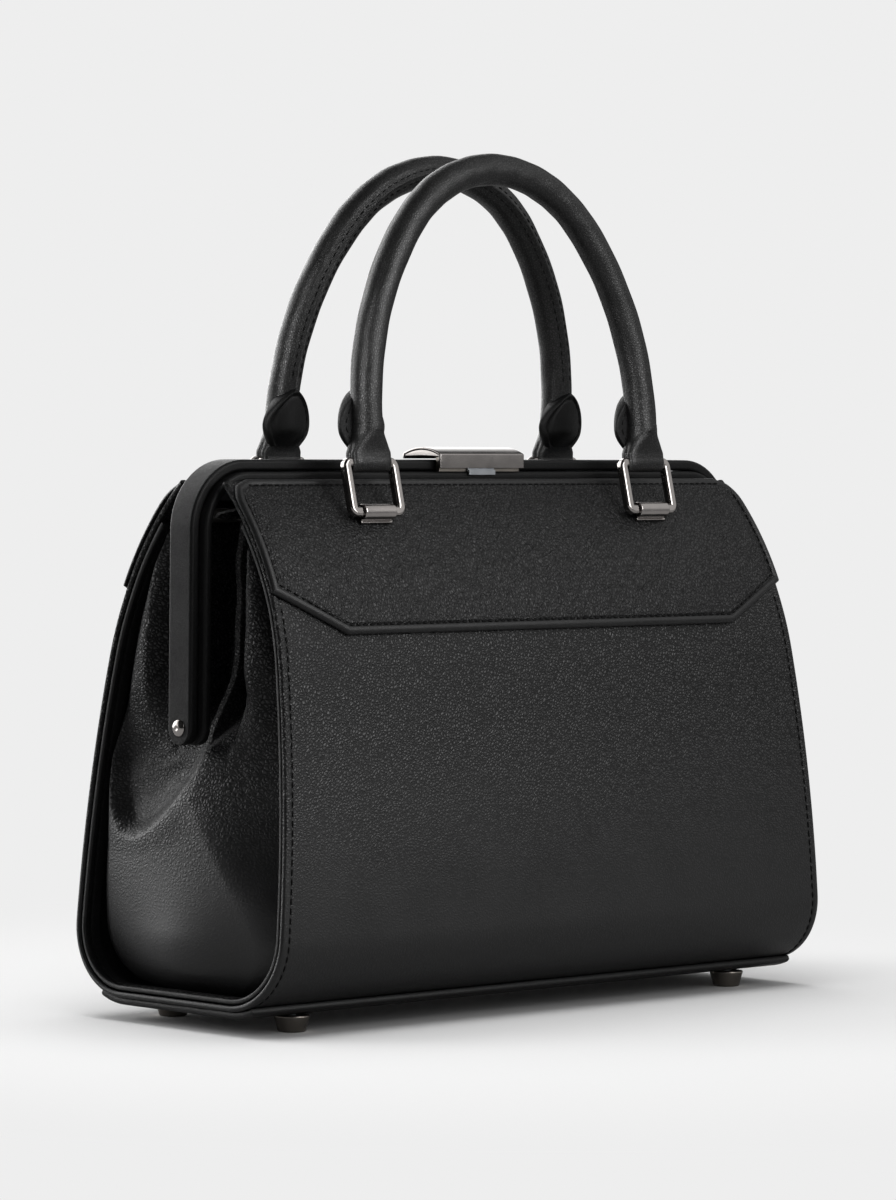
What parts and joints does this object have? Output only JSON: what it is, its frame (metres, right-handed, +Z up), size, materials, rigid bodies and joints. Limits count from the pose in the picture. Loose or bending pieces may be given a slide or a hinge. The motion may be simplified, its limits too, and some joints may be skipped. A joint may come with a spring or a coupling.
{
  "type": "top handle bag",
  "caption": "Framed top handle bag in black pebbled leather with a pointed yoke, two rolled handles on gunmetal rings, a slide latch, pleated ends and metal feet.",
  "frame": {"origin": "On the floor, under the middle of the bag: the centre of the part's box from above, at the level of the feet's lowest faces.", "axes": "X runs along the front of the bag to the wearer's right as the front is looked at, the front faces -Y, and Z is up."},
  "size_m": [0.2856, 0.109, 0.3137],
  "materials": {
    "leather": "black pebbled leather, low sheen",
    "smooth_leather": "black fine-grained leather, low sheen",
    "board": "fibreboard, hidden",
    "cloth": "dark woven lining",
    "cord_core": "twisted cord, hidden",
    "gunmetal": "polished gunmetal plating",
    "dark_metal": "dark gunmetal, satin",
    "steel": "plain steel, hidden"
  },
  "bodies": {
    "bag": {"front_panel": "leather", "rear_panel": "leather", "base_patch": "leather", "left_edge_binding": "leather", "right_edge_binding": "leather", "left_gusset": "leather", "right_gusset": "leather", "left_gusset_fold": "leather", "right_gusset_fold": "leather", "base_board": "board", "front_board": "board", "rear_board": "board", "lining": "cloth", "left_lining_end": "cloth", "right_lining_end": "cloth", "slip_pocket": "leather", "feet": "dark_metal", "foot_screws": "steel", "left_hinge_rivet": "gunmetal", "right_hinge_rivet": "gunmetal", "hinge_washers": "steel"},
    "front_frame": {"front_frame_core": "steel", "front_frame_cover": "smooth_leather", "front_rail": "steel", "front_facing": "leather", "front_yoke": "leather", "front_left_bridge": "gunmetal", "front_right_bridge": "gunmetal", "front_back_plates": "steel", "latch_plate": "dark_metal", "latch_cap": "gunmetal", "latch_spring": "steel"},
    "rear_frame": {"rear_frame_core": "steel", "rear_frame_cover": "smooth_leather", "rear_rail": "steel", "rear_facing": "leather", "rear_yoke": "leather", "rear_left_bridge": "gunmetal", "rear_right_bridge": "gunmetal", "rear_back_plates": "steel", "latch_keeper": "steel"},
    "slider": {"latch_slider": "gunmetal"},
    "front_rings": {"front_left_ring": "gunmetal", "front_right_ring": "gunmetal"},
    "rear_rings": {"rear_left_ring": "gunmetal", "rear_right_ring": "gunmetal"},
    "front_handle": {"front_handle_cover": "smooth_leather", "front_handle_core": "cord_core", "front_left_strap": "smooth_leather", "front_right_strap": "smooth_leather"},
    "rear_handle": {"rear_handle_cover": "smooth_leather", "rear_handle_core": "cord_core", "rear_left_strap": "smooth_leather", "rear_right_strap": "smooth_leather"}
  },
  "joints": [
    {"name": "front_frame_hinge", "type": "hinge", "parent": "bag", "child": "front_frame", "pos_m": [0, 0, 0.1063], "axis": [1, 0, 0], "range_deg": [0, 34], "deforming": ["left_gusset_fold", "right_gusset_fold"]},
    {"name": "rear_frame_hinge", "type": "hinge", "parent": "bag", "child": "rear_frame", "pos_m": [0, 0, 0.1063], "axis": [-1, 0, 0], "range_deg": [0, 34]},
    {"name": "latch_slide", "type": "slide", "parent": "front_frame", "child": "slider", "axis": [1, 0, 0], "range_m": [0, 0.01], "stiffness_N_per_m": 60, "deforming": ["latch_spring"]},
    {"name": "front_ring_hinge", "type": "hinge", "parent": "front_frame", "child": "front_rings", "pos_m": [0, -0.02807, 0.18269], "axis": [1, 0, 0], "range_deg": [0, 30]},
    {"name": "rear_ring_hinge", "type": "hinge", "parent": "rear_frame", "child": "rear_rings", "pos_m": [0, 0.02807, 0.18269], "axis": [-1, 0, 0], "range_deg": [0, 30]},
    {"name": "front_handle_hinge", "type": "hinge", "parent": "front_rings", "child": "front_handle", "pos_m": [0, -0.02379, 0.20028], "axis": [1, 0, 0], "range_deg": [-3, 100]},
    {"name": "rear_handle_hinge", "type": "hinge", "parent": "rear_rings", "child": "rear_handle", "pos_m": [0, 0.02379, 0.20028], "axis": [-1, 0, 0], "range_deg": [-3, 100]}
  ],
  "couplings": [
    {"joint": "rear_frame_hinge", "follows": "front_frame_hinge", "ratio": 1}
  ]
}
